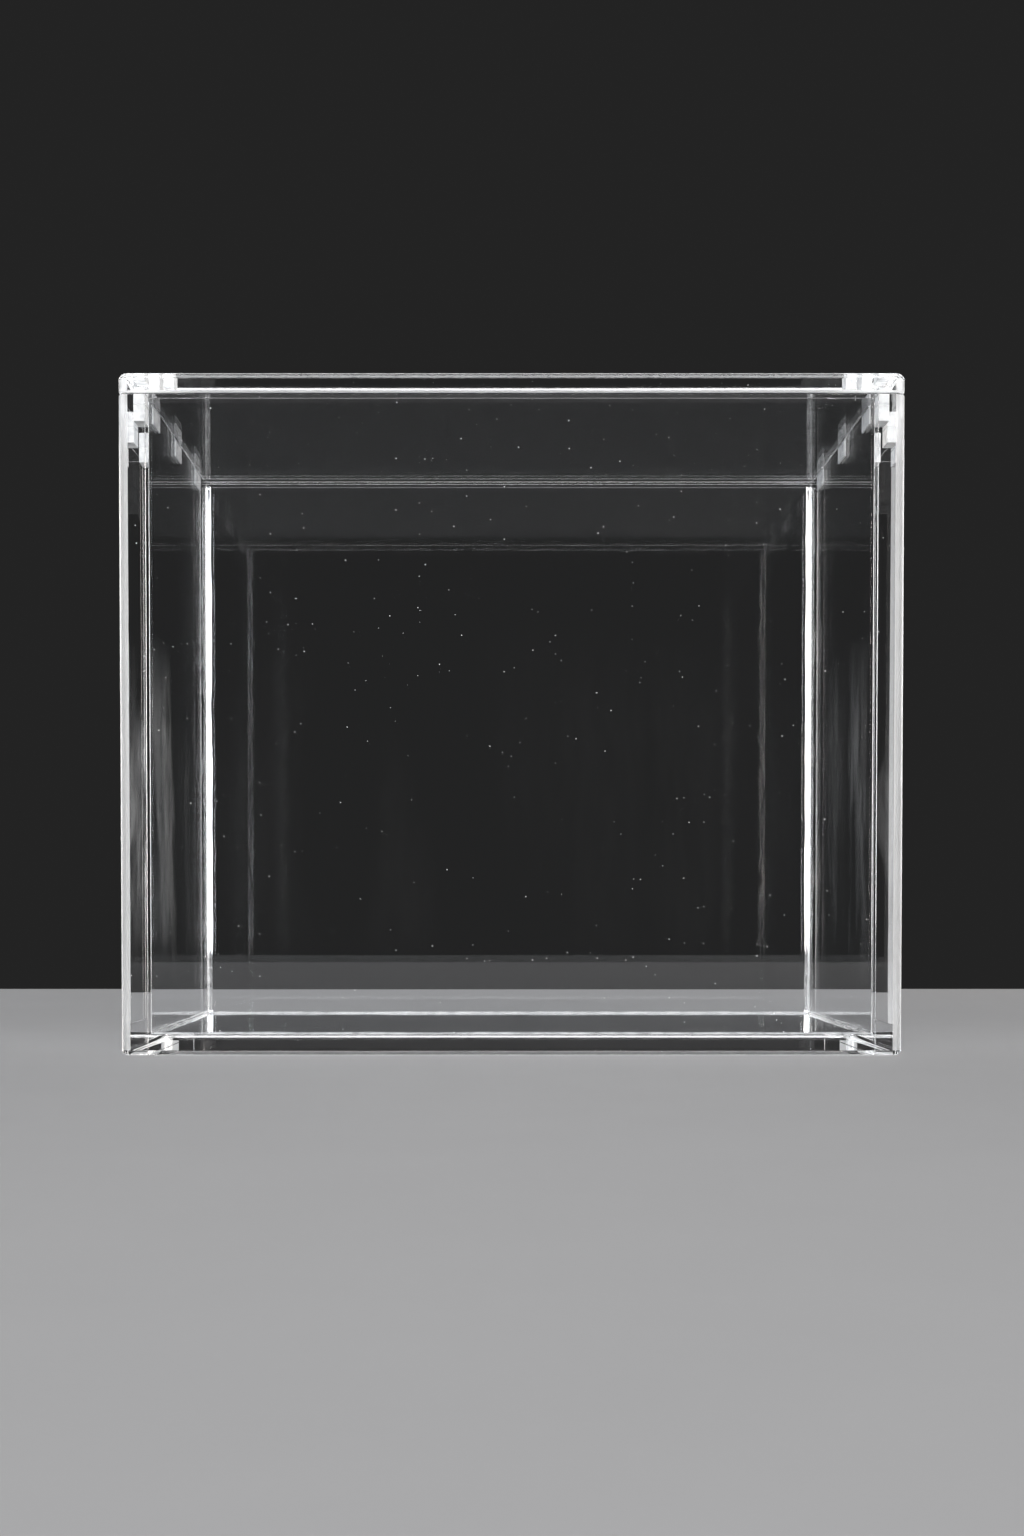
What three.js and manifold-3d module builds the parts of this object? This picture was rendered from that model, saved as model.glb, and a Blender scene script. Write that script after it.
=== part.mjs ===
import * as THREE from 'three';
import { mergeVertices } from 'three/addons/utils/BufferGeometryUtils.js';
import Module from 'manifold-3d';

// Clear acrylic case for a boxed set of card packs, with a flat lid held on by magnets.
// Millimetres, +Z up, the front faces -Y. The origin lies under the middle of the case, on the surface it stands on.

// Space inside the case
const bayWidth = 145;
const bayDepth = 82;
const bayHeight = 127;

// Sheets
const wallThickness = 5.5;
const baseThickness = 4;
const lidThickness = 4;
const lidSeatGap = 0.3;

// Rounded edges
const uprightRadius = 2;
const footRadius = 1;
const lidEdgeRadius = 1.3;
const arcSegments = 6;

// Block magnets, set upright in the side panels and, right above these, in the lid
const magnetLength = 8;
const magnetThickness = 2;
const wallMagnetHeight = 3;
const magnetEndDistance = 17.5;
const magnetRecess = 0.1;
const adhesiveFilm = 0.1;
const lidSkin = 0.8;

// How far a cutting solid runs past the face that it opens
const cutOverrun = 1;

// Places that follow from the sizes above
const caseWidth = bayWidth + 2 * wallThickness;
const caseDepth = bayDepth + 2 * wallThickness;
const caseHeight = baseThickness + bayHeight;
const lidSeatHeight = caseHeight + lidSeatGap;
const wallCentre = (bayWidth + wallThickness) / 2;
const magnetPitch = caseDepth / 2 - magnetEndDistance;
const pocketThickness = magnetThickness + 2 * adhesiveFilm;
const pocketLength = magnetLength + 2 * adhesiveFilm;
const wallPocketDepth = magnetRecess + wallMagnetHeight + adhesiveFilm;
const lidPocketDepth = lidThickness - lidSkin;
const lidMagnetHeight = lidPocketDepth - magnetRecess - adhesiveFilm;

const sides = [
  { name: 'left', sign: -1 },
  { name: 'right', sign: 1 },
];
const rows = [
  { name: 'front', y: -magnetPitch },
  { name: 'middle', y: 0 },
  { name: 'rear', y: magnetPitch },
];

const wasm = await Module();
wasm.setup();

function clearAcrylic() {
  return new THREE.MeshStandardMaterial({
    color: 0xe9eff1,
    roughness: 0.04,
    metalness: 0,
    transparent: true,
    opacity: 0.25,
  });
}

function brightNickel() {
  return new THREE.MeshStandardMaterial({ color: 0xd9d8d4, roughness: 0.25, metalness: 1 });
}

function solidFrom(geometry) {
  geometry.deleteAttribute('normal');
  geometry.deleteAttribute('uv');
  const merged = mergeVertices(geometry);
  const mesh = new wasm.Mesh({
    numProp: 3,
    vertProperties: merged.getAttribute('position').array,
    triVerts: Uint32Array.from(merged.getIndex().array),
  });
  return new wasm.Manifold(mesh);
}

function geometryFrom(solid) {
  const mesh = solid.getMesh();
  const geometry = new THREE.BufferGeometry();
  geometry.setAttribute('position', new THREE.BufferAttribute(mesh.vertProperties, 3));
  geometry.setIndex(new THREE.BufferAttribute(mesh.triVerts, 1));
  geometry.computeVertexNormals();
  return geometry;
}

// Box between two values on each axis
function block(x, y, z) {
  const geometry = new THREE.BoxGeometry(x[1] - x[0], y[1] - y[0], z[1] - z[0]);
  geometry.translate((x[0] + x[1]) / 2, (y[0] + y[1]) / 2, (z[0] + z[1]) / 2);
  return solidFrom(geometry);
}

// Rectangle about the vertical axis, with one radius for its two lower corners and one for its two upper ones
function outline(width, low, high, lowRadius, highRadius) {
  const half = width / 2;
  const shape = new THREE.Shape();
  const corners = [
    { x: half, y: low, inX: -1, inY: 1, radius: lowRadius, start: -Math.PI / 2 },
    { x: half, y: high, inX: -1, inY: -1, radius: highRadius, start: 0 },
    { x: -half, y: high, inX: 1, inY: -1, radius: highRadius, start: Math.PI / 2 },
    { x: -half, y: low, inX: 1, inY: 1, radius: lowRadius, start: Math.PI },
  ];
  shape.moveTo(-half + lowRadius, low);
  for (const { x, y, inX, inY, radius, start } of corners) {
    if (radius > 0) {
      shape.absarc(x + inX * radius, y + inY * radius, radius, start, start + Math.PI / 2, false);
    } else {
      shape.lineTo(x, y);
    }
  }
  return shape;
}

function prism(shape, depth) {
  return new THREE.ExtrudeGeometry(shape, { depth, bevelEnabled: false, curveSegments: arcSegments });
}

// Solid whose plan, front and side views are rounded rectangles: upright corners, lower and upper edges
function roundedBlock(height, lowRadius, highRadius) {
  const plan = outline(caseWidth, -caseDepth / 2, caseDepth / 2, uprightRadius, uprightRadius);
  const front = outline(caseWidth, 0, height, lowRadius, highRadius);
  const side = outline(caseDepth, 0, height, lowRadius, highRadius);
  const upright = prism(plan, height);
  const along = prism(front, caseDepth).rotateX(Math.PI / 2).translate(0, caseDepth / 2, 0);
  const across = prism(side, caseWidth).rotateX(Math.PI / 2).rotateZ(Math.PI / 2).translate(-caseWidth / 2, 0, 0);
  return solidFrom(upright).intersect(solidFrom(along)).intersect(solidFrom(across));
}

// Slots for the magnets of one side, from z[0] to z[1]
function pockets(side, z) {
  const x = side.sign * wallCentre;
  return rows.map(({ y }) => block(
    [x - pocketThickness / 2, x + pocketThickness / 2],
    [y - pocketLength / 2, y + pocketLength / 2],
    z,
  ));
}

function addMesh(group, name, geometry, material) {
  const mesh = new THREE.Mesh(geometry, material);
  mesh.name = name;
  group.add(mesh);
  return mesh;
}

function addMagnets(group, side, place, height, z) {
  for (const row of rows) {
    const geometry = new THREE.BoxGeometry(magnetThickness, magnetLength, height);
    const magnet = addMesh(group, `${side.name}_${place}_magnet_${row.name}`, geometry, brightNickel());
    magnet.position.set(side.sign * wallCentre, row.y, z);
  }
}

// Welded case: the side panels run over the full height and depth, the other three sheets stand between them
function makeCase() {
  const group = new THREE.Group();
  const envelope = roundedBlock(caseHeight, footRadius, 0);
  const bayX = [-bayWidth / 2, bayWidth / 2];
  const fullY = [-caseDepth / 2, caseDepth / 2];
  const fullZ = [0, caseHeight];
  const aboveBase = [baseThickness, caseHeight];
  const pocketZ = [caseHeight - wallPocketDepth, caseHeight + cutOverrun];

  for (const side of sides) {
    const inner = side.sign * bayWidth / 2;
    const outer = side.sign * caseWidth / 2;
    const slab = block([Math.min(inner, outer), Math.max(inner, outer)], fullY, fullZ);
    let panel = slab.intersect(envelope);
    for (const pocket of pockets(side, pocketZ)) {
      panel = panel.subtract(pocket);
    }
    addMesh(group, `${side.name}_panel`, geometryFrom(panel), clearAcrylic());
    addMagnets(group, side, 'wall', wallMagnetHeight, caseHeight - magnetRecess - wallMagnetHeight / 2);
  }

  const sheets = [
    { name: 'front_panel', y: [-caseDepth / 2, -bayDepth / 2], z: aboveBase },
    { name: 'back_panel', y: [bayDepth / 2, caseDepth / 2], z: aboveBase },
    { name: 'base_panel', y: fullY, z: [0, baseThickness] },
  ];
  for (const { name, y, z } of sheets) {
    const sheet = block(bayX, y, z).intersect(envelope);
    addMesh(group, name, geometryFrom(sheet), clearAcrylic());
  }
  return group;
}

// Flat lid over the whole outline, drawn from its underside
function makeLid() {
  const group = new THREE.Group();
  let panel = roundedBlock(lidThickness, 0, lidEdgeRadius);
  for (const side of sides) {
    for (const pocket of pockets(side, [-cutOverrun, lidPocketDepth])) {
      panel = panel.subtract(pocket);
    }
    addMagnets(group, side, 'lid', lidMagnetHeight, magnetRecess + lidMagnetHeight / 2);
  }
  addMesh(group, 'lid_panel', geometryFrom(panel), clearAcrylic());
  group.position.z = lidSeatHeight;
  return group;
}

const boosterBoxCase = new THREE.Group();
boosterBoxCase.add(makeCase());
boosterBoxCase.add(makeLid());

export default boosterBoxCase;
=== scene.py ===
import math

import bmesh
import bpy
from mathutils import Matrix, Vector, noise


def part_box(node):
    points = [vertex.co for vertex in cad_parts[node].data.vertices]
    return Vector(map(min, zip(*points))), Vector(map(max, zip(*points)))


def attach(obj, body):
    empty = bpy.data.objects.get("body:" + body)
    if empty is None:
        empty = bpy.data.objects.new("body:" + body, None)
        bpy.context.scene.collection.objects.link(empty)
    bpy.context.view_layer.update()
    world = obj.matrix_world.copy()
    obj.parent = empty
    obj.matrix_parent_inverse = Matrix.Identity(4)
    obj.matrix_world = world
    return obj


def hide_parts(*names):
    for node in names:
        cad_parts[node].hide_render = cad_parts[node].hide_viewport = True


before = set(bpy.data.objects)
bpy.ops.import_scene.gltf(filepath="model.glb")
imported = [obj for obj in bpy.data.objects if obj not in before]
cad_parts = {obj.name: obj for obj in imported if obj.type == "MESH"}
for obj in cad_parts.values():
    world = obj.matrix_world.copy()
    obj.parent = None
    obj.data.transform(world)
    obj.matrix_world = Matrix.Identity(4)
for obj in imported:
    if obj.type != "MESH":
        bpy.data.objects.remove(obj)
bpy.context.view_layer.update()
mm = 0.001
xAxis = 0
yAxis = 1
zAxis = 2
sideSigns = {"left": -1, "right": 1}
rowNames = ("front", "middle", "rear")
acrylicIor = 1.49
print("frame loaded:", len(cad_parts), "nodes")


# small helpers for node trees

def addNode(tree, kind, **sockets):
    node = tree.nodes.new(kind)
    for name, value in sockets.items():
        node.inputs[name.replace("_", " ")].default_value = value
    return node


def startMaterial(name):
    material = bpy.data.materials.new(name)
    material.use_nodes = True
    tree = material.node_tree
    return material, tree, tree.nodes["Principled BSDF"]


def objectPlace(tree):
    return tree.nodes.new("ShaderNodeTexCoord").outputs["Object"]


def stretched(tree, place, scale, turn=(0, 0, 0)):
    mapping = addNode(tree, "ShaderNodeMapping", Scale=scale, Rotation=turn)
    tree.links.new(place, mapping.inputs["Vector"])
    return mapping.outputs["Vector"]


# scale counts features per metre
def noiseField(tree, place, scale, detail, roughness=0.55, output="Fac"):
    node = addNode(tree, "ShaderNodeTexNoise", Scale=scale, Detail=detail, Roughness=roughness)
    tree.links.new(place, node.inputs["Vector"])
    return node.outputs[output]


def remap(tree, source, low, high, toLow=0.0, toHigh=1.0):
    node = addNode(tree, "ShaderNodeMapRange", From_Min=low, From_Max=high, To_Min=toLow, To_Max=toHigh)
    tree.links.new(source, node.inputs["Value"])
    return node.outputs["Result"]


def combine(tree, operation, first, second=0.0):
    node = tree.nodes.new("ShaderNodeMath")
    node.operation = operation
    for socket, value in zip(node.inputs, (first, second)):
        if isinstance(value, (int, float)):
            socket.default_value = value
        else:
            tree.links.new(value, socket)
    return node.outputs["Value"]


def product(tree, first, *others):
    for other in others:
        first = combine(tree, "MULTIPLY", first, other)
    return first


def tinted(tree, source, stops):
    ramp = tree.nodes.new("ShaderNodeValToRGB")
    for element, (position, colour) in zip(ramp.color_ramp.elements, stops):
        element.position = position
        element.color = colour
    tree.links.new(source, ramp.inputs["Fac"])
    return ramp.outputs["Color"]


def addBump(tree, shader, height, strength, distance):
    bump = addNode(tree, "ShaderNodeBump", Strength=strength, Distance=distance)
    tree.links.new(height, bump.inputs["Height"])
    tree.links.new(bump.outputs["Normal"], shader.inputs["Normal"])


# light on its way to what lies behind or inside the acrylic goes straight through

throughLook = {"perFace": (0.78, 0.785, 0.79, 1)}    # share that each face lets pass


def passLight(tree, shader):
    ray = tree.nodes.new("ShaderNodeLightPath")
    clear = addNode(tree, "ShaderNodeBsdfTransparent", Color=throughLook["perFace"])
    mix = tree.nodes.new("ShaderNodeMixShader")
    tree.links.new(ray.outputs["Is Shadow Ray"], mix.inputs["Fac"])
    tree.links.new(shader.outputs["BSDF"], mix.inputs[1])
    tree.links.new(clear.outputs["BSDF"], mix.inputs[2])
    tree.links.new(mix.outputs["Shader"], tree.nodes["Material Output"].inputs["Surface"])


# polished cast sheet: clear, with wiped smears, sparse dust and hairline scratches

sheetLook = {
    "tint": (0.985, 0.992, 1.0, 1),
    "swirl": {"scale": 55.0, "detail": 1.0, "roughness": 0.5},    # bends the smears
    "swirlReach": 6 * mm,
    "smear": {"scale": 60.0, "detail": 2.0, "roughness": 0.45},
    "smearStretch": (1.0, 0.9, 0.24),
    "smearTurn": (0.35, 0.0, 0.0),
    "smearEdge": (0.49, 0.63),     # clear below the first noise level, smeared above the second
    "streak": {"scale": 520.0, "detail": 4.0, "roughness": 0.6},
    "streakStretch": (1.0, 0.7, 0.05),
    "streakRange": (0.38, 0.62, 0.15, 1.0),    # noise between the first two becomes the last two
    "smearHeight": (12 * mm, 30 * mm, 66 * mm, 86 * mm),    # fades in and out between these heights
    "smearBack": (-12 * mm, 22 * mm),                       # and towards the back
    "smearHaze": {"clear": 0.0015, "wiped": 0.12, "handled": 0.15},
    "dustScale": 700.0,
    "dustSize": (0.085, 0.051),    # outer and inner edge of a speck, in cells
    "dustShare": 0.945,            # share of the cells without a speck
    "dustVeil": 0.6,
    "dustRoughness": 0.7,
    "scratch": {"scale": 34.0, "detail": 2.0},
    "scratchStretch": (1.0, 0.3, 0.16),
    "scratchTurn": (0.3, 0.5, 0.4),
    "scratchLevel": 0.5,           # a scratch runs where the noise has this level
    "scratchWidth": 0.004,
    "scratchBump": {"strength": 0.05, "distance": 0.01 * mm},
}


def swirled(tree, place):
    reach = sheetLook["swirlReach"]
    shift = addNode(tree, "ShaderNodeVectorMath")
    shift.operation = "MULTIPLY_ADD"
    shift.inputs[1].default_value = (reach, reach, reach)
    tree.links.new(noiseField(tree, place, **sheetLook["swirl"], output="Color"), shift.inputs[0])
    tree.links.new(place, shift.inputs[2])
    return shift.outputs["Vector"]


def smearField(tree, place):
    look = sheetLook
    bent = swirled(tree, place)
    wiped = stretched(tree, bent, look["smearStretch"], look["smearTurn"])
    patch = remap(tree, noiseField(tree, wiped, **look["smear"]), *look["smearEdge"])
    strokes = stretched(tree, bent, look["streakStretch"], look["smearTurn"])
    streak = remap(tree, noiseField(tree, strokes, **look["streak"]), *look["streakRange"])
    split = tree.nodes.new("ShaderNodeSeparateXYZ")
    tree.links.new(place, split.inputs["Vector"])
    foot, low, high, top = look["smearHeight"]
    near, far = look["smearBack"]
    rising = remap(tree, split.outputs["Z"], foot, low)
    falling = remap(tree, split.outputs["Z"], top, high)
    fading = remap(tree, split.outputs["Y"], far, near)
    return product(tree, patch, streak, rising, falling, fading)


def dustField(tree, place):
    look = sheetLook
    cells = addNode(tree, "ShaderNodeTexVoronoi", Scale=look["dustScale"])
    tree.links.new(place, cells.inputs["Vector"])
    speck = remap(tree, cells.outputs["Distance"], *look["dustSize"])
    drawn = tree.nodes.new("ShaderNodeSeparateColor")
    tree.links.new(cells.outputs["Color"], drawn.inputs["Color"])
    chosen = combine(tree, "GREATER_THAN", drawn.outputs["Red"], look["dustShare"])
    return product(tree, speck, chosen)


def scratchField(tree, place):
    look = sheetLook
    slanted = stretched(tree, place, look["scratchStretch"], look["scratchTurn"])
    field = noiseField(tree, slanted, **look["scratch"])
    level = combine(tree, "SUBTRACT", field, look["scratchLevel"])
    return remap(tree, combine(tree, "ABSOLUTE", level), look["scratchWidth"], 0.0)


def makeAcrylic(finish):
    look = sheetLook
    material, tree, shader = startMaterial(f"{finish}Acrylic")
    place = objectPlace(tree)
    shader.inputs["Base Color"].default_value = look["tint"]
    shader.inputs["IOR"].default_value = acrylicIor
    haze = product(tree, smearField(tree, place), look["smearHaze"][finish])
    dust = dustField(tree, place)
    veil = combine(tree, "MAXIMUM", haze, product(tree, dust, look["dustVeil"]))
    tree.links.new(combine(tree, "SUBTRACT", 1.0, veil), shader.inputs["Transmission Weight"])
    tree.links.new(product(tree, dust, look["dustRoughness"]), shader.inputs["Roughness"])
    addBump(tree, shader, scratchField(tree, place), **look["scratchBump"])
    passLight(tree, shader)
    return material


# rounded upright corners and the lid's lower edge: rubbed to a satin that glows where light enters it

edgeLook = {
    "grain": {"scale": 1500.0, "detail": 3.0},
    "grainStretch": (1.0, 1.0, 0.1),
    "roughness": (0.3, 0.7, 0.28, 0.4),    # noise between the first two becomes the last two
    "clear": 0.7,
}


def makeBuffed():
    look = edgeLook
    material, tree, shader = startMaterial("buffedEdge")
    shader.inputs["Base Color"].default_value = sheetLook["tint"]
    shader.inputs["IOR"].default_value = acrylicIor
    shader.inputs["Transmission Weight"].default_value = look["clear"]
    strokes = stretched(tree, objectPlace(tree), look["grainStretch"])
    grain = noiseField(tree, strokes, **look["grain"])
    tree.links.new(remap(tree, grain, *look["roughness"]), shader.inputs["Roughness"])
    passLight(tree, shader)
    return material


# where two sheets are welded the light passes straight on

def makeWeld():
    material, tree, shader = startMaterial("weldedFace")
    clear = addNode(tree, "ShaderNodeBsdfTransparent")
    tree.nodes.remove(shader)
    tree.links.new(clear.outputs["BSDF"], tree.nodes["Material Output"].inputs["Surface"])
    return material


# milled pocket: the cutter leaves the acrylic frosted white

pocketLook = {
    "cloud": {"scale": 420.0, "detail": 5.0, "roughness": 0.6},
    "stops": ((0.3, (0.46, 0.47, 0.48, 1)), (0.55, (0.76, 0.765, 0.77, 1))),    # noise level and colour
    "grain": {"scale": 2600.0, "detail": 3.0},
    "bump": {"strength": 0.4, "distance": 0.03 * mm},
    "roughness": 0.8,
    "specular": 0.0,
}


def makeMilled():
    look = pocketLook
    material, tree, shader = startMaterial("milledAcrylic")
    place = objectPlace(tree)
    cloud = noiseField(tree, place, **look["cloud"])
    tree.links.new(tinted(tree, cloud, look["stops"]), shader.inputs["Base Color"])
    shader.inputs["Specular IOR Level"].default_value = look["specular"]
    shader.inputs["Roughness"].default_value = look["roughness"]
    addBump(tree, shader, noiseField(tree, place, **look["grain"]), **look["bump"])
    return material


# cement squeezed out of the welds: clear with cloudy patches

cementLook = {
    "tint": (0.97, 0.975, 0.98, 1),
    "cloud": {"scale": 420.0, "detail": 5.0, "roughness": 0.65},
    "clearness": (0.35, 0.65, 0.8, 1.0),    # noise between the first two becomes the last two
    "roughness": (0.3, 0.7, 0.12, 0.0),
    "bump": {"strength": 0.1, "distance": 0.02 * mm},
}


def makeCement():
    look = cementLook
    material, tree, shader = startMaterial("weldCement")
    shader.inputs["Base Color"].default_value = look["tint"]
    shader.inputs["IOR"].default_value = acrylicIor
    cloud = noiseField(tree, objectPlace(tree), **look["cloud"])
    tree.links.new(remap(tree, cloud, *look["clearness"]), shader.inputs["Transmission Weight"])
    tree.links.new(remap(tree, cloud, *look["roughness"]), shader.inputs["Roughness"])
    addBump(tree, shader, cloud, **look["bump"])
    passLight(tree, shader)
    return material


# nickel plating on the magnets

nickelLook = {
    "stain": {"scale": 260.0, "detail": 5.0},
    "stops": ((0.3, (0.80, 0.79, 0.77, 1)), (0.7, (0.93, 0.92, 0.90, 1))),    # noise level and colour
    "roughness": (0.3, 0.7, 0.22, 0.4),    # noise between the first two becomes the last two
    "grain": {"scale": 1800.0, "detail": 2.0},
    "bump": {"strength": 0.1, "distance": 0.01 * mm},
}


def makeNickel():
    look = nickelLook
    material, tree, shader = startMaterial("nickelPlate")
    place = objectPlace(tree)
    shader.inputs["Metallic"].default_value = 1.0
    stain = noiseField(tree, place, **look["stain"])
    tree.links.new(tinted(tree, stain, look["stops"]), shader.inputs["Base Color"])
    tree.links.new(remap(tree, stain, *look["roughness"]), shader.inputs["Roughness"])
    addBump(tree, shader, noiseField(tree, place, **look["grain"]), **look["bump"])
    return material


weld = makeWeld()
milled = makeMilled()
cement = makeCement()
nickel = makeNickel()
buffed = makeBuffed()
clearSheet = (makeAcrylic("clear"), weld, milled, buffed)
sideSheets = {
    "left": (makeAcrylic("wiped"), weld, milled, buffed),
    "right": (makeAcrylic("handled"), weld, milled, buffed),
}
clearSlot = 0
weldSlot = 1
milledSlot = 2
buffedSlot = 3
print("materials made")


# modelling helpers on a bmesh

tolerance = {
    "touch": 1e-7,
    "cut": 1e-8,
    "flat": 0.9999,    # a face along an axis is shaded flat
}


def startBlock(low, high):
    bm = bmesh.new()
    bmesh.ops.create_cube(bm, size=1)
    bmesh.ops.scale(bm, vec=high - low, verts=bm.verts)
    bmesh.ops.translate(bm, vec=(low + high) / 2, verts=bm.verts)
    return bm


def onPlane(item, axis, value):
    return all(abs(v.co[axis] - value) < tolerance["touch"] for v in item.verts)


def edgesOn(bm, *planes):
    return [e for e in bm.edges if all(onPlane(e, axis, value) for axis, value in planes)]


def facesOn(bm, axis, value):
    return [f for f in bm.faces if onPlane(f, axis, value)]


def rimOf(faces):
    return list(dict.fromkeys(e for f in faces for e in f.edges))


def roundEdges(bm, edges, radius, segments, slot=clearSlot):
    made = bmesh.ops.bevel(
        bm, geom=edges, offset=radius, offset_type="OFFSET", segments=segments, profile=0.5,
        affect="EDGES", material=-1, clamp_overlap=True)["faces"]
    for face in made:
        face.material_index = slot


def cutFaces(bm, faces, axis, value):
    normal = Vector((0, 0, 0))
    normal[axis] = 1
    corners = list(dict.fromkeys(v for f in faces for v in f.verts))
    geom = faces + rimOf(faces) + corners
    bmesh.ops.bisect_plane(
        bm, geom=geom, plane_co=normal * value, plane_no=normal, dist=tolerance["cut"])


def inSlot(face, slot):
    middle = face.calc_center_median()
    slack = tolerance["touch"]
    return all(slot[axis][0] - slack < middle[axis] < slot[axis][1] + slack for axis in (xAxis, yAxis))


def sinkPockets(bm, height, depth, slots):
    for slot in slots:
        for axis in (xAxis, yAxis):
            for value in slot[axis]:
                cutFaces(bm, facesOn(bm, zAxis, height), axis, value)
    for slot in slots:
        floor = [f for f in facesOn(bm, zAxis, height) if inSlot(f, slot)]
        grown = bmesh.ops.extrude_face_region(bm, geom=floor)["geom"]
        bmesh.ops.delete(bm, geom=[f for f in floor if f.is_valid], context="FACES_ONLY")
        moved = [v for v in grown if isinstance(v, bmesh.types.BMVert)]
        bmesh.ops.translate(bm, vec=Vector((0, 0, depth)), verts=moved)
        for face in bm.faces:
            sunk = (face.calc_center_median().z - height) * depth > 0
            if sunk and inSlot(face, slot):
                face.material_index = milledSlot


def finishPiece(bm, name, body, materials, node=None):
    for face in bm.faces:
        face.smooth = max(abs(part) for part in face.normal) < tolerance["flat"]
    mesh = bpy.data.meshes.new(name)
    bm.to_mesh(mesh)
    bm.free()
    for material in materials:
        mesh.materials.append(material)
    piece = bpy.data.objects.new(name, mesh)
    bpy.context.scene.collection.objects.link(piece)
    if node:
        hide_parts(node)
    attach(piece, body)


# sizes read from the frame

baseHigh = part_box("base_panel")[1]
frontLow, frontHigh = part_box("front_panel")
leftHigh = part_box("left_panel")[1]
lidLow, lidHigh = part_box("lid_panel")
halfBay = baseHigh.x
halfDepth = leftHigh.y
innerY = halfDepth - (frontHigh.y - frontLow.y)
baseTop = baseHigh.z
caseTop = leftHigh.z

sheetEdges = {
    "uprightRadius": 2.0 * mm,
    "footRadius": 1.0 * mm,
    "lidRadius": 1.3 * mm,
    "roundSegments": 40,
    "broken": 0.08 * mm,     # sharp edges taken off with a scraper
    "brokenSegments": 3,
    "rubbed": 0.4 * mm,      # the lid's lower edge, taken off further
    "rubbedSegments": 8,
    "film": 0.1 * mm,        # glue round the magnets
}


def magnetSlots(side, place):
    film = sheetEdges["film"]
    slots = []
    for row in rowNames:
        low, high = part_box(f"{side}_{place}_magnet_{row}")
        slots.append([(low.x - film, high.x + film), (low.y - film, high.y + film)])
    return slots


def pocketDepth(place):
    low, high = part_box(f"left_{place}_magnet_front")
    if place == "wall":
        return low.z - sheetEdges["film"] - caseTop
    return high.z + sheetEdges["film"] - lidLow.z


def makeSidePanel(side):
    low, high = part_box(f"{side}_panel")
    inner = sideSigns[side] * halfBay
    outer = high.x if sideSigns[side] > 0 else low.x
    size = sheetEdges
    bm = startBlock(low, high)
    upright = [e for y in (low.y, high.y) for e in edgesOn(bm, (xAxis, outer), (yAxis, y))]
    roundEdges(bm, upright, size["uprightRadius"], size["roundSegments"], buffedSlot)
    foot = [e for e in rimOf(facesOn(bm, zAxis, low.z)) if not onPlane(e, xAxis, inner)]
    roundEdges(bm, foot, size["footRadius"], size["roundSegments"])
    sharp = rimOf(facesOn(bm, xAxis, inner) + facesOn(bm, zAxis, high.z))
    roundEdges(bm, sharp, size["broken"], size["brokenSegments"])
    for axis, value in ((yAxis, -innerY), (yAxis, innerY), (zAxis, baseTop)):
        cutFaces(bm, facesOn(bm, xAxis, inner), axis, value)
    for face in facesOn(bm, xAxis, inner):
        middle = face.calc_center_median()
        if abs(middle.y) > innerY or middle.z < baseTop:
            face.material_index = weldSlot
    sinkPockets(bm, high.z, pocketDepth("wall"), magnetSlots(side, "wall"))
    finishPiece(bm, f"{side}_panel_sheet", "case", sideSheets[side], f"{side}_panel")


def makeEndPanel(end):
    low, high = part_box(f"{end}_panel")
    size = sheetEdges
    bm = startBlock(low, high)
    roundEdges(bm, list(bm.edges), size["broken"], size["brokenSegments"])
    for face in facesOn(bm, xAxis, low.x) + facesOn(bm, xAxis, high.x) + facesOn(bm, zAxis, low.z):
        face.material_index = weldSlot
    finishPiece(bm, f"{end}_panel_sheet", "case", clearSheet, f"{end}_panel")


def makeBase():
    low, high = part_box("base_panel")
    size = sheetEdges
    bm = startBlock(low, high)
    foot = [e for y in (low.y, high.y) for e in edgesOn(bm, (yAxis, y), (zAxis, low.z))]
    roundEdges(bm, foot, size["footRadius"], size["roundSegments"])
    sharp = rimOf(facesOn(bm, xAxis, low.x) + facesOn(bm, xAxis, high.x))
    sharp += [e for y in (low.y, high.y) for e in edgesOn(bm, (yAxis, y), (zAxis, high.z))]
    roundEdges(bm, sharp, size["broken"], size["brokenSegments"])
    for y in (-innerY, innerY):
        cutFaces(bm, facesOn(bm, zAxis, high.z), yAxis, y)
    ends = facesOn(bm, xAxis, low.x) + facesOn(bm, xAxis, high.x)
    strips = [f for f in facesOn(bm, zAxis, high.z) if abs(f.calc_center_median().y) > innerY]
    for face in ends + strips:
        face.material_index = weldSlot
    finishPiece(bm, "base_panel_sheet", "case", clearSheet, "base_panel")


def makeLid():
    size = sheetEdges
    bm = startBlock(lidLow, lidHigh)
    corners = [(x, y) for x in (lidLow.x, lidHigh.x) for y in (lidLow.y, lidHigh.y)]
    upright = [e for x, y in corners for e in edgesOn(bm, (xAxis, x), (yAxis, y))]
    roundEdges(bm, upright, size["uprightRadius"], size["roundSegments"], buffedSlot)
    roundEdges(bm, rimOf(facesOn(bm, zAxis, lidHigh.z)), size["lidRadius"], size["roundSegments"])
    seat = rimOf(facesOn(bm, zAxis, lidLow.z))
    roundEdges(bm, seat, size["rubbed"], size["rubbedSegments"], buffedSlot)
    slots = magnetSlots("left", "lid") + magnetSlots("right", "lid")
    sinkPockets(bm, lidLow.z, pocketDepth("lid"), slots)
    finishPiece(bm, "lid_panel_sheet", "lid", clearSheet, "lid_panel")


for side in sideSigns:
    makeSidePanel(side)
for end in ("front", "back"):
    makeEndPanel(end)
makeBase()
makeLid()
print("sheets made")


# cement beads in the inside corners, uneven along their run

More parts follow.
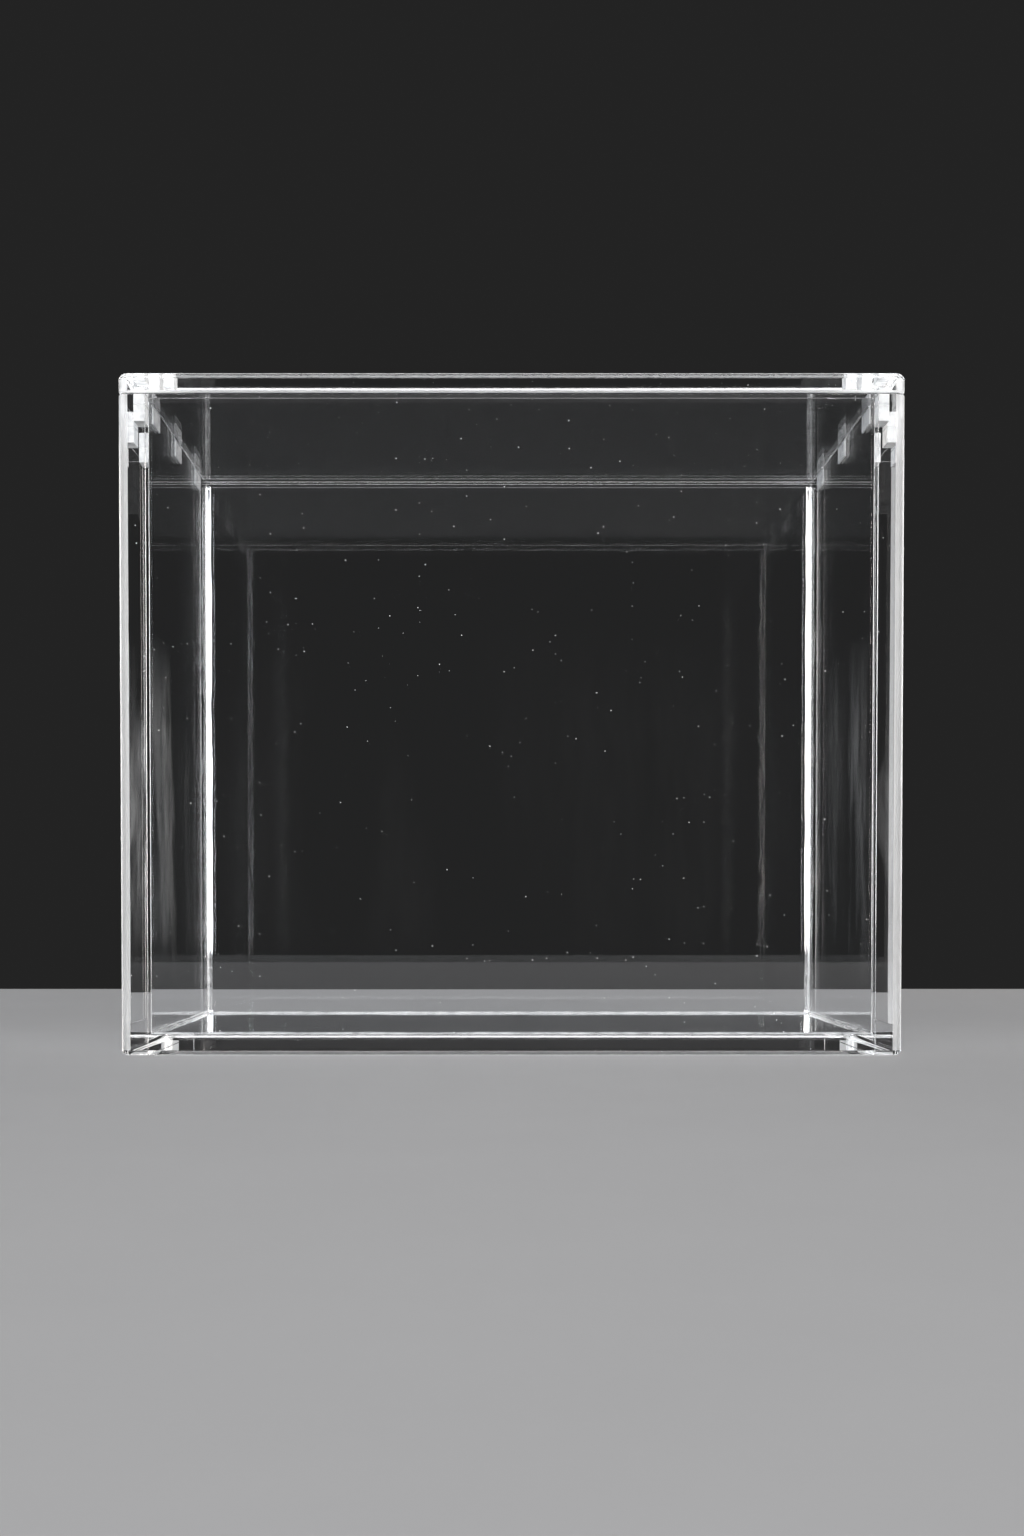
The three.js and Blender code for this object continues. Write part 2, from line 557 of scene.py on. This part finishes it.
beadShape = {
    "sideFootSize": 0.6 * mm,     # along the base, at the sides
    "endFootSize": 0.42 * mm,     # and at the front and back
    "frontSize": 0.15 * mm,       # up the front corners
    "backSize": 1.05 * mm,        # up the back corners
    "uneven": 0.22,
    "wander": 70.0,               # swellings per metre
    "fractal": (1.0, 2.0, 4),     # dimension, lacunarity and octaves of the swellings
    "thinnest": 0.15,             # share of the size that always stays
    "step": 0.8 * mm,
    "arcSegments": 5,
    "clearance": 0.01 * mm,
}


def layBead(start, end, legs, size):
    shape = beadShape
    bm = bmesh.new()
    run = end - start
    corner = start + (legs[0] + legs[1]) * shape["clearance"]
    profile = [bm.verts.new(corner)]
    for step in range(shape["arcSegments"] + 1):
        angle = math.pi / 2 * step / shape["arcSegments"]
        reach = legs[0] * (1 - math.sin(angle)) + legs[1] * (1 - math.cos(angle))
        profile.append(bm.verts.new(corner + reach * size))
    cap = bm.faces.new(profile)
    grown = bmesh.ops.extrude_face_region(bm, geom=[cap], use_keep_orig=True)["geom"]
    bmesh.ops.translate(bm, vec=run, verts=[v for v in grown if isinstance(v, bmesh.types.BMVert)])
    along = [e for e in bm.edges if abs(e.calc_length() - run.length) < tolerance["touch"]]
    bmesh.ops.subdivide_edges(bm, edges=along, cuts=int(run.length / shape["step"]))
    for vert in bm.verts:
        middle = corner + run * ((vert.co - corner).dot(run) / run.length_squared)
        swell = 1 + shape["uneven"] * noise.fractal(middle * shape["wander"], *shape["fractal"])
        vert.co = middle + (vert.co - middle) * max(swell, shape["thinnest"])
    return bm


def makeBeads(name, runs):
    joined = bmesh.new()
    for start, end, legs, size in runs:
        bead = layBead(Vector(start), Vector(end), [Vector(leg) for leg in legs], size)
        scratch = bpy.data.meshes.new("scratch")
        bead.to_mesh(scratch)
        bead.free()
        joined.from_mesh(scratch)
        bpy.data.meshes.remove(scratch)
    bmesh.ops.recalc_face_normals(joined, faces=joined.faces)
    finishPiece(joined, name, "case", (cement,))


def footRuns():
    gap = beadShape["clearance"]
    sideFoot = beadShape["sideFootSize"]
    runs = []
    for sign in (-1, 1):
        x = sign * halfBay
        y = sign * innerY
        legs = ((-sign, 0, 0), (0, 0, 1))
        runs.append(((x, -innerY + gap, baseTop), (x, innerY - gap, baseTop), legs, sideFoot))
        start = (-halfBay + sideFoot, y, baseTop)
        end = (halfBay - sideFoot, y, baseTop)
        runs.append((start, end, ((0, -sign, 0), (0, 0, 1)), beadShape["endFootSize"]))
    return runs


def uprightRuns():
    low = baseTop + beadShape["clearance"]
    high = caseTop - beadShape["sideFootSize"]
    runs = []
    for size, endSign in ((beadShape["frontSize"], -1), (beadShape["backSize"], 1)):
        y = endSign * innerY
        for sideSign in sideSigns.values():
            x = sideSign * halfBay
            runs.append(((x, y, low), (x, y, high), ((-sideSign, 0, 0), (0, -endSign, 0)), size))
    return runs


makeBeads("foot_weld_beads", footRuns())
makeBeads("upright_weld_beads", uprightRuns())
print("cement beads laid")


# block magnets with rounded edges

magnetShape = {"edgeRadius": 0.25 * mm, "edgeSegments": 4}


def makeMagnet(node, body):
    bm = startBlock(*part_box(node))
    roundEdges(bm, list(bm.edges), magnetShape["edgeRadius"], magnetShape["edgeSegments"])
    finishPiece(bm, f"{node}_block", body, (nickel,), node)


for side in sideSigns:
    for row in rowNames:
        makeMagnet(f"{side}_wall_magnet_{row}", "case")
        makeMagnet(f"{side}_lid_magnet_{row}", "lid")
print("magnets made")


# pale floor

floorLook = {
    "halfWidth": 0.9,
    "front": -0.75,
    "back": 0.29,
    "drop": 0.02 * mm,       # so that the floor and the case's underside don't coincide
    "colour": (0.29, 0.29, 0.296),
    "shade": 0.95,           # darkest share of the colour
    "cloud": {"scale": 38.0, "detail": 6.0},
    "grain": {"scale": 900.0, "detail": 3.0},
    "bump": {"strength": 0.15, "distance": 0.1 * mm},
    "roughness": 0.9,
    "specular": 0.1,
}


def makeFloorMaterial():
    look = floorLook
    material, tree, shader = startMaterial("paleFloor")
    place = objectPlace(tree)
    pale = (*look["colour"], 1)
    shaded = (*(look["shade"] * part for part in look["colour"]), 1)
    cloud = noiseField(tree, place, **look["cloud"])
    tree.links.new(tinted(tree, cloud, ((0.0, shaded), (1.0, pale))), shader.inputs["Base Color"])
    shader.inputs["Roughness"].default_value = look["roughness"]
    shader.inputs["Specular IOR Level"].default_value = look["specular"]
    addBump(tree, shader, noiseField(tree, place, **look["grain"]), **look["bump"])
    return material


def makeFloor():
    look = floorLook
    size = (2 * look["halfWidth"], look["back"] - look["front"], 1)
    middle = (0, (look["front"] + look["back"]) / 2, -look["drop"])
    bm = bmesh.new()
    bmesh.ops.create_grid(bm, x_segments=1, y_segments=1, size=0.5)
    bmesh.ops.scale(bm, vec=size, verts=bm.verts)
    bmesh.ops.translate(bm, vec=middle, verts=bm.verts)
    mesh = bpy.data.meshes.new("floor")
    bm.to_mesh(mesh)
    bm.free()
    mesh.materials.append(makeFloorMaterial())
    floor = bpy.data.objects.new("floor", mesh)
    bpy.context.scene.collection.objects.link(floor)


# dark room with softboxes: three on each side, one above and a large one high in front

studio = {
    "roomColour": (0.017, 0.017, 0.017, 1),
    "sideHeight": 0.4,      # low, to keep most of the glare off the lid
    "sideBoxes": {          # x and y of the middle; straight beside the case there is none
        "near": {"place": (0.42, -0.9), "aimY": 0.0, "width": 0.22, "power": 3.2},
        "far": {"place": (0.6, 0.47), "aimY": 0.47, "width": 0.66, "power": 2.5},
        "rear": {"place": (0.82, 1.15), "aimY": 0.0, "width": 0.7, "power": 2.0},
    },
    "sideTint": {"left": (0.94, 0.975, 1.0), "right": (1.0, 0.95, 0.9)},
    "sideShare": {"left": 0.88, "right": 1.12},
    "middleBoxes": {
        "top": {
            "place": (0, 0.55, 1.0),
            "aim": (0, 0, 0),
            "width": 0.7,
            "height": 0.7,
            "power": 3.0,
        },
        "front": {
            "place": (0, -0.62, 0.85),
            "aim": (0, 0, 0.13),
            "width": 1.2,
            "height": 0.7,
            "power": 11.0,
        },
    },
}


def addSoftbox(name, place, aim, width, height, power, tint=(1, 1, 1), mirrored=True):
    light = bpy.data.lights.new(name, "AREA")
    light.shape = "RECTANGLE"
    light.size = width
    light.size_y = height
    light.energy = power
    light.color = tint
    box = bpy.data.objects.new(name, light)
    box.location = place
    box.visible_glossy = mirrored    # whether polished faces mirror it
    box.rotation_euler = (Vector(aim) - Vector(place)).to_track_quat("-Z", "Y").to_euler()
    bpy.context.scene.collection.objects.link(box)


def makeStudio():
    world = bpy.data.worlds.new("room")
    world.use_nodes = True
    world.node_tree.nodes["Background"].inputs["Color"].default_value = studio["roomColour"]
    bpy.context.scene.world = world
    tall = studio["sideHeight"]
    for side, sign in sideSigns.items():
        tint = studio["sideTint"][side]
        for row, box in studio["sideBoxes"].items():
            x, y = box["place"]
            place = (sign * x, y, tall / 2)
            aim = (0, box["aimY"], tall / 2)
            power = studio["sideShare"][side] * box["power"]
            width = box["width"]
            addSoftbox(f"{side}_{row}_softbox", place, aim, width, tall, power, tint, mirrored=False)
    for name, box in studio["middleBoxes"].items():
        addSoftbox(f"{name}_softbox", **box)


makeFloor()
makeStudio()
print("studio made")


# camera at the photo's angle

shot = {
    "lens": 47.55,
    "sensor": 36,
    "clipStart": 10 * mm,
    "distance": 404 * mm,       # from the front face
    "height": 29.2 * mm,
    "aside": -3.5 * mm,
    "tiltDown": 1.6,
    "frame": (1024, 1536),
    "axisPixel": (494, 965.6),  # where the lens axis meets the picture
    "bounces": 32,              # enough for light that goes through many sheets
    "mirrorBounces": 16,
    "clearBounces": 48,
}


def makeCamera():
    data = bpy.data.cameras.new("camera")
    data.lens = shot["lens"]
    data.sensor_width = shot["sensor"]
    data.clip_start = shot["clipStart"]
    wide, tall = shot["frame"]
    axisX, axisY = shot["axisPixel"]
    data.shift_x = (wide / 2 - axisX) / tall
    data.shift_y = (axisY - tall / 2) / tall
    camera = bpy.data.objects.new("camera", data)
    camera.location = (shot["aside"], -halfDepth - shot["distance"], shot["height"])
    camera.rotation_euler = (math.radians(90 - shot["tiltDown"]), 0, 0)
    bpy.context.scene.collection.objects.link(camera)
    bpy.context.scene.camera = camera


def setPicture():
    scene = bpy.context.scene
    scene.view_settings.view_transform = "Standard"
    scene.cycles.max_bounces = shot["bounces"]
    scene.cycles.transmission_bounces = shot["bounces"]
    scene.cycles.glossy_bounces = shot["mirrorBounces"]
    scene.cycles.transparent_max_bounces = shot["clearBounces"]


makeCamera()
setPicture()
print("camera placed")
